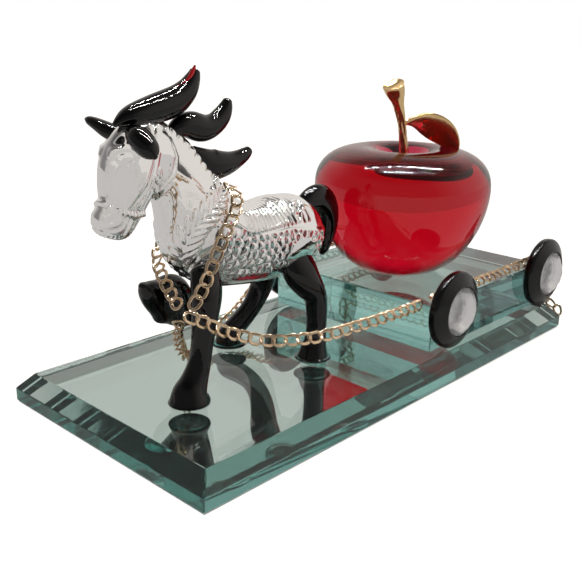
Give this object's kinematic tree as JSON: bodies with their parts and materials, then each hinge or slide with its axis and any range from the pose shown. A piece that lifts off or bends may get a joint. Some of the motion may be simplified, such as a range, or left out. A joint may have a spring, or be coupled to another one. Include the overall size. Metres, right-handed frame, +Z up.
{
  "type": "crystal glass figurine",
  "caption": "Clear crystal horse with black glass mane, tail and legs, chained to a glass block cart that carries a red crystal apple, on a bevelled mirror base.",
  "frame": {"origin": "middle of the base's underside, on the surface that it rests on", "axes": "+Z is up. The horse faces -X along the base's length. The horse's left side, with the near wheels, is -Y."},
  "size_m": [0.1499, 0.068, 0.0789],
  "materials": {
    "sea_glass": "polished float glass, clear through its thickness and sea green at its edges, bevelled and ground flat",
    "mirror_film": "silver film behind glass",
    "backing_paint": "grey protective paint, matte",
    "red_crystal": "polished solid red crystal",
    "clear_crystal": "pressed clear crystal, fire polished, with pebbled relief",
    "black_glass": "opaque black glass, drawn hot, high gloss",
    "red_thread_glass": "opaque red glass, high gloss",
    "rhinestone": "faceted clear crystal with a foiled back",
    "clear_adhesive": "cured clear adhesive",
    "gold_cast": "gold-plated casting, polished, slightly uneven",
    "gold_chain": "rose gold plated wire, bright"
  },
  "bodies": {
    "root": {"base_plate": "sea_glass", "mirror_silver": "mirror_film", "mirror_paint": "backing_paint", "cart_block": "sea_glass", "apple_body": "red_crystal", "apple_bond": "clear_adhesive", "apple_stem": "gold_cast", "apple_leaf": "gold_cast", "wheel_front_left": "black_glass", "wheel_front_right": "black_glass", "wheel_rear_left": "black_glass", "wheel_rear_right": "black_glass", "stone_front_left": "rhinestone", "stone_front_right": "rhinestone", "stone_rear_left": "rhinestone", "stone_rear_right": "rhinestone", "bond_front_left": "clear_adhesive", "bond_front_right": "clear_adhesive", "bond_rear_left": "clear_adhesive", "bond_rear_right": "clear_adhesive", "horse_body": "clear_crystal", "foreleg_left": "black_glass", "foreleg_right": "black_glass", "hindleg_left": "black_glass", "hindleg_right": "black_glass", "hoof_bond_front": "clear_adhesive", "hoof_bond_hind_left": "clear_adhesive", "hoof_bond_hind_right": "clear_adhesive", "tail": "black_glass", "ear_left": "black_glass", "ear_right": "black_glass", "mane_forelock": "black_glass", "mane_upper": "black_glass", "mane_lower": "black_glass", "mane_red_thread": "red_thread_glass", "chain_neck_left": "gold_chain", "chain_neck_right": "gold_chain", "chain_trace_left": "gold_chain", "chain_trace_right": "gold_chain", "chain_rail_left": "gold_chain", "chain_rail_right": "gold_chain", "chain_rear": "gold_chain"}
  },
  "joints": []
}
